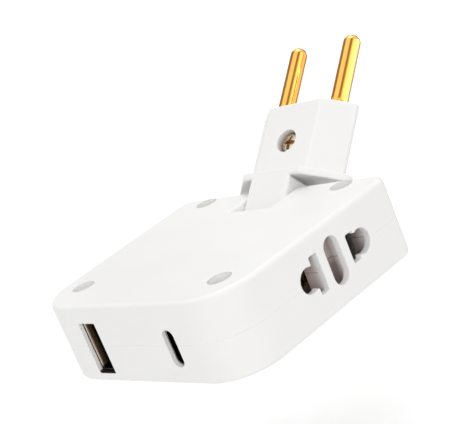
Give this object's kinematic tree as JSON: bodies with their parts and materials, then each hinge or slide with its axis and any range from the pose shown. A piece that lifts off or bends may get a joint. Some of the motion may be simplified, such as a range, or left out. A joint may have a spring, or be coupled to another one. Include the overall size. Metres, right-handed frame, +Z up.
{
  "type": "three-way plug adapter",
  "caption": "Flat white plug adapter with mains sockets in both sides, charging ports in front and a brass-pinned plug that swivels in a notch in the back edge.",
  "frame": {"origin": "middle of the case's bottom face", "axes": "+Z up through the case, -Y out of the charging ports, +Y towards the swivelling plug, +X out of the right socket"},
  "size_m": [0.0702, 0.0995, 0.0471],
  "materials": {
    "white_case": "satin moulded plastic",
    "gilt_brass": "polished",
    "bronze": "bright strip",
    "steel": "plated",
    "board": "coated laminate",
    "ferrite": "dull",
    "can": "sleeved",
    "black_moulding": "matt"
  },
  "bodies": {
    "case": {"lower_shell": "white_case", "upper_shell": "white_case", "case_screws": "steel", "right_live_contact": "bronze", "right_neutral_contact": "bronze", "left_live_contact": "bronze", "left_neutral_contact": "bronze", "live_bus": "bronze", "neutral_bus": "bronze", "live_wiper": "bronze", "neutral_wiper": "bronze", "live_lead": "bronze", "neutral_lead": "bronze", "charger_board": "board", "transformer": "ferrite", "input_capacitors": "can", "output_capacitors": "can", "bridge_rectifier": "black_moulding", "controller_chip": "black_moulding", "fuse": "black_moulding", "usb_a_shell": "steel", "usb_a_tongue": "black_moulding", "usb_a_contacts": "bronze", "usb_c_shell": "steel", "usb_c_tongue": "black_moulding", "usb_c_contacts": "bronze", "friction_washers": "steel"},
    "plug": {"plug_front": "white_case", "plug_rear": "white_case", "plug_screw": "steel", "live_pin": "gilt_brass", "neutral_pin": "gilt_brass", "live_link": "bronze", "neutral_link": "bronze", "live_trunnion": "bronze", "neutral_trunnion": "bronze"}
  },
  "joints": [
    {"name": "plug_swivel", "type": "hinge", "parent": "case", "child": "plug", "pos_m": [0, 0.0274, 0.01], "axis": [1, 0, 0], "range_deg": [-131.5, 48.5]}
  ]
}
